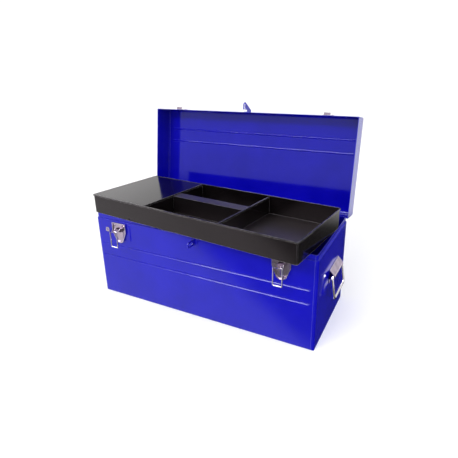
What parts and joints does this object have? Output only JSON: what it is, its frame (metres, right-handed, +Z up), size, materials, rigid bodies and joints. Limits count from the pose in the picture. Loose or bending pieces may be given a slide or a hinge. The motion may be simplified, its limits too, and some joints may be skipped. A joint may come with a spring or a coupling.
{
  "type": "toolbox with tray",
  "caption": "Long sheet-steel toolbox with a hinged lid, draw latches, end handles and a loose divided tray lying askew across its open rim.",
  "frame": {"origin": "centre of the box's underside, where it stands", "axes": "+X to the right along the box's length, +Y to the back where the lid hinges, +Z up"},
  "size_m": [0.6502, 0.4093, 0.5068],
  "materials": {
    "blue_paint": "glossy ultramarine enamel",
    "black_paint": "glossy black enamel",
    "plated_steel": "bright nickel or zinc plate"
  },
  "bodies": {
    "box": {"body_wrap": "blue_paint", "body_end_left": "blue_paint", "body_end_right": "blue_paint", "tray_ledge_left": "blue_paint", "tray_ledge_right": "blue_paint", "hinge_leaf_body": "plated_steel", "hinge_pin": "plated_steel", "latch_base_left": "plated_steel", "latch_pin_left": "plated_steel", "latch_rivet_left_1": "plated_steel", "latch_rivet_left_2": "plated_steel", "handle_bracket_left": "plated_steel", "handle_rivet_left_1": "plated_steel", "handle_rivet_left_2": "plated_steel", "latch_base_right": "plated_steel", "latch_pin_right": "plated_steel", "latch_rivet_right_1": "plated_steel", "latch_rivet_right_2": "plated_steel", "handle_bracket_right": "plated_steel", "handle_rivet_right_1": "plated_steel", "handle_rivet_right_2": "plated_steel", "padlock_ear_body": "blue_paint"},
    "lid": {"lid_wrap": "blue_paint", "lid_end_left": "blue_paint", "lid_end_right": "blue_paint", "hinge_leaf_lid": "plated_steel", "padlock_ear_lid": "blue_paint", "lid_catch_left": "plated_steel", "catch_rivet_left_1": "plated_steel", "catch_rivet_left_2": "plated_steel", "lid_catch_right": "plated_steel", "catch_rivet_right_1": "plated_steel", "catch_rivet_right_2": "plated_steel"},
    "lever_left": {"latch_lever_left": "plated_steel"},
    "bail_left": {"latch_bail_left": "plated_steel"},
    "handle_left": {"handle_bail_left": "plated_steel"},
    "lever_right": {"latch_lever_right": "plated_steel"},
    "bail_right": {"latch_bail_right": "plated_steel"},
    "handle_right": {"handle_bail_right": "plated_steel"},
    "tray": {"tray_pan": "black_paint", "tray_divider_left": "black_paint", "tray_divider_right": "black_paint", "tray_channel": "black_paint", "tray_cover_pin": "plated_steel"},
    "cover": {"tray_cover": "black_paint"}
  },
  "joints": [
    {"name": "lid_hinge", "type": "hinge", "parent": "box", "child": "lid", "pos_m": [0, 0.1302, 0.223], "axis": [1, 0, 0], "range_deg": [0, 98]},
    {"name": "latch_lever_left_pivot", "type": "hinge", "parent": "box", "child": "lever_left", "pos_m": [-0.226, -0.135, 0.198], "axis": [1, 0, 0], "range_deg": [0, 100.2]},
    {"name": "latch_bail_left_pivot", "type": "hinge", "parent": "lever_left", "child": "bail_left", "pos_m": [-0.226, -0.151, 0.2005], "axis": [-1, 0, 0], "range_deg": [0, 283]},
    {"name": "latch_lever_right_pivot", "type": "hinge", "parent": "box", "child": "lever_right", "pos_m": [0.226, -0.135, 0.198], "axis": [1, 0, 0], "range_deg": [0, 100.2]},
    {"name": "latch_bail_right_pivot", "type": "hinge", "parent": "lever_right", "child": "bail_right", "pos_m": [0.226, -0.151, 0.2005], "axis": [-1, 0, 0], "range_deg": [0, 283]},
    {"name": "handle_left_pivot", "type": "hinge", "parent": "box", "child": "handle_left", "pos_m": [-0.313, 0.012, 0.138], "axis": [0, 1, 0], "range_deg": [0, 92]},
    {"name": "handle_right_pivot", "type": "hinge", "parent": "box", "child": "handle_right", "pos_m": [0.313, 0.012, 0.138], "axis": [0, -1, 0], "range_deg": [0, 92]},
    {"name": "tray_shift", "type": "slide", "parent": "box", "child": "tray", "axis": [0, -1, 0], "range_m": [0, 0.32]},
    {"name": "tray_cover_hinge", "type": "hinge", "parent": "tray", "child": "cover", "pos_m": [0.00771, 0.07058, 0.2786], "axis": [-0.9943, 0.1063, 0], "range_deg": [0, 95]}
  ],
  "couplings": [
    {"joint": "tray_shift", "follows": "lid_hinge", "m_per_rad": 0.185},
    {"joint": "latch_bail_left_pivot", "follows": "latch_lever_left_pivot", "ratio": 2.8174},
    {"joint": "latch_bail_right_pivot", "follows": "latch_lever_right_pivot", "ratio": 2.8174}
  ]
}
